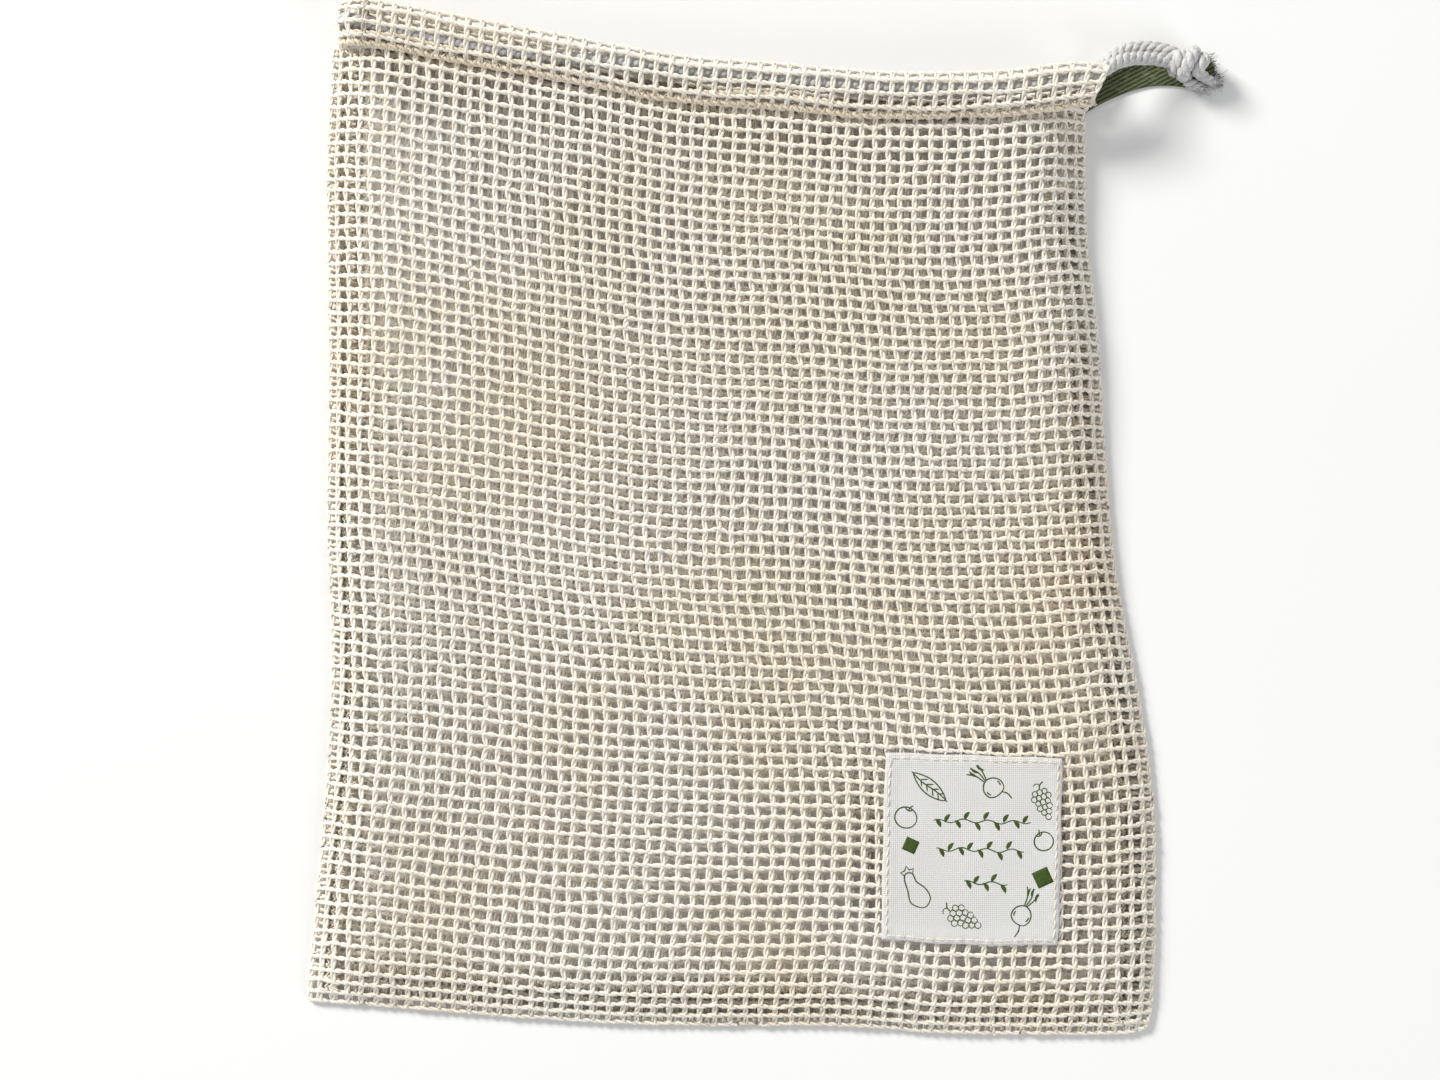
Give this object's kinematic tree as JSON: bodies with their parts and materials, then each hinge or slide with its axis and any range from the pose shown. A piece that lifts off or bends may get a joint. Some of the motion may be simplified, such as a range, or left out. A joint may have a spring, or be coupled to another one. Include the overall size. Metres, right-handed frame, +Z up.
{
  "type": "mesh produce bag",
  "caption": "Flat pouch of open cotton mesh for fruit and vegetables, with a sewn label, a side hang tab and a knotted drawstring that gathers the mouth.",
  "frame": {"origin": "on the underside of the back panel, near the middle of the bag, where it rests on a table", "axes": "+Z up through the thickness of the lying bag, +Y towards the mouth, +X towards the side where the drawstring comes out"},
  "size_m": [0.276, 0.3065, 0.019],
  "materials": {
    "cotton_mesh": "open woven unbleached cotton, matte",
    "sewing_thread": "cotton sewing thread, matte",
    "label_cotton": "plain woven bleached cotton, matte",
    "woven_tape": "ribbed woven tape, matte",
    "cotton_rope": "three-strand twisted cotton, matte"
  },
  "bodies": {
    "bag": {"back_panel": "cotton_mesh", "front_panel": "cotton_mesh", "back_casing": "cotton_mesh", "front_casing": "cotton_mesh", "casing_turn": "cotton_mesh", "left_seam": "cotton_mesh", "right_seam": "cotton_mesh", "bottom_seam": "cotton_mesh", "left_overlock": "sewing_thread", "right_overlock": "sewing_thread", "bottom_overlock": "sewing_thread", "front_hem_stitches": "sewing_thread", "back_hem_stitches": "sewing_thread", "label": "label_cotton", "label_stitches": "sewing_thread", "hang_tab": "woven_tape", "tab_bartack": "sewing_thread"},
    "drawstring": {"drawstring_front_leg": "cotton_rope", "drawstring_back_leg": "cotton_rope", "drawstring_turn": "cotton_rope", "drawstring_knot": "cotton_rope", "drawstring_front_tail": "cotton_rope", "drawstring_back_tail": "cotton_rope"}
  },
  "joints": [
    {"name": "drawstring_pull", "type": "slide", "parent": "bag", "child": "drawstring", "axis": [0.9969, -0.0785, 0], "range_m": [0, 0.15], "deforming": ["drawstring_turn"]}
  ]
}
